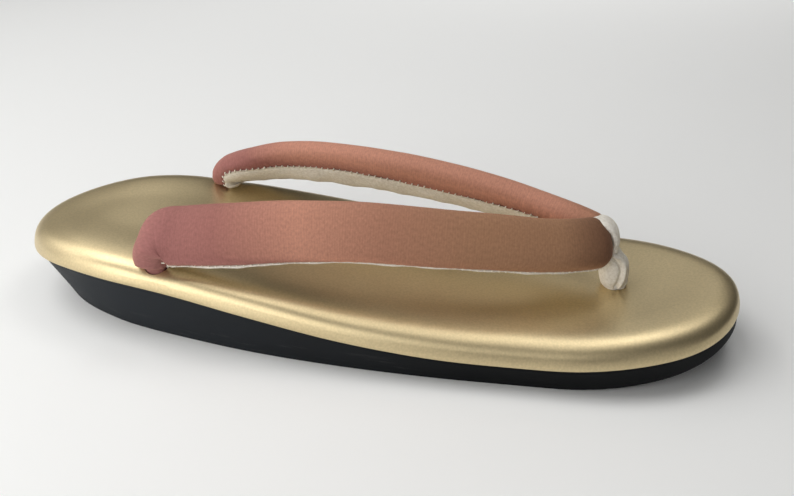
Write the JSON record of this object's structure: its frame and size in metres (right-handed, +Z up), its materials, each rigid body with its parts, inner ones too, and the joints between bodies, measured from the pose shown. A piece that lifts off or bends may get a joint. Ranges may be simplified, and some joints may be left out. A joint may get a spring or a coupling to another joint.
{
  "type": "zori sandal",
  "caption": "Low wedge zori sandal with a wrapped cushion footbed, padded fabric toe straps joined at the front and a soft thong between the toes.",
  "frame": {"origin": "on the ground, under the middle of the sandal's bounding box", "axes": "+X from heel to toe, +Y to the wearer's left, +Z up"},
  "size_m": [0.24, 0.0814, 0.0483],
  "materials": {
    "sole": "matte black foam rubber",
    "footbed": "satin champagne gold synthetic leather",
    "strap": "dusty pink shot fabric turning to gold brown",
    "flannel": "off-white brushed cotton flannel"
  },
  "bodies": {
    "root": {"sole": "sole", "footbed": "footbed", "straps": "strap", "front_thong": "flannel"}
  },
  "joints": []
}
